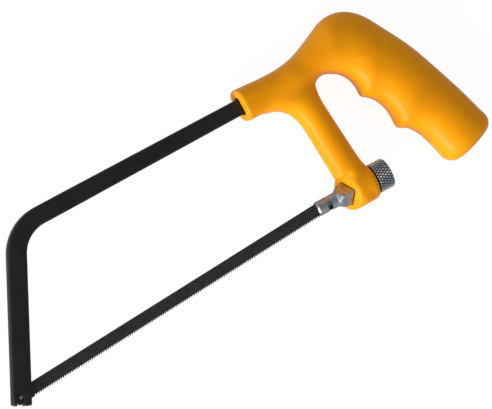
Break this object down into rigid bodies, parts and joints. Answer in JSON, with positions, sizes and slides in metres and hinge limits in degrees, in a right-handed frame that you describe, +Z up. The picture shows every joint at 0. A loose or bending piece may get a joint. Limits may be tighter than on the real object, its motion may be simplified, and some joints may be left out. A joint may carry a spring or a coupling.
{
  "type": "junior hacksaw",
  "caption": "Junior hacksaw with a bent bar frame, a moulded pistol-grip handle and a fine-toothed pin-end blade tightened by a knurled knob.",
  "frame": {"origin": "middle of the bottom of the bounding box, with the saw lying on its side", "axes": "+X along the blade from the front pin towards the hand, +Y from the blade towards the rail, +Z up through the saw's thickness"},
  "size_m": [0.2302, 0.0784, 0.0237],
  "materials": {
    "black_paint": "satin black paint on steel bar",
    "yellow_plastic": "semi-gloss yellow-orange moulded plastic",
    "blade_steel": "black lacquered tool steel, bare at the tooth tips",
    "pin_steel": "plain steel pin",
    "plated_steel": "dull zinc-nickel plating over turned steel",
    "knurled_chrome": "bright plated diamond knurl"
  },
  "bodies": {
    "frame": {"frame_bar": "black_paint", "handle": "yellow_plastic", "thrust_washer": "plated_steel"},
    "tension_rod": {"drawbar": "plated_steel"},
    "blade_set": {"blade": "blade_steel", "blade_front_pin": "pin_steel", "blade_rear_pin": "pin_steel"},
    "knob": {"tension_knob": "knurled_chrome"}
  },
  "joints": [
    {"name": "knob_turn", "type": "hinge", "parent": "frame", "child": "knob", "pos_m": [0.06408, -0.02819, 0.01185], "axis": [0.9977, -0.068, 0], "range_deg": [0, 1170]},
    {"name": "drawbar_slide", "type": "slide", "parent": "frame", "child": "tension_rod", "axis": [-0.9977, 0.068, 0], "range_m": [0, 0.00262]},
    {"name": "blade_swing", "type": "hinge", "parent": "tension_rod", "child": "blade_set", "pos_m": [0.03809, -0.02642, 0.01185], "axis": [0, 0, 1], "range_deg": [0, 1.65]}
  ],
  "couplings": [
    {"joint": "drawbar_slide", "follows": "knob_turn", "m_per_rad": 0.00012732},
    {"joint": "blade_swing", "follows": "knob_turn", "ratio": 0.0013932}
  ]
}
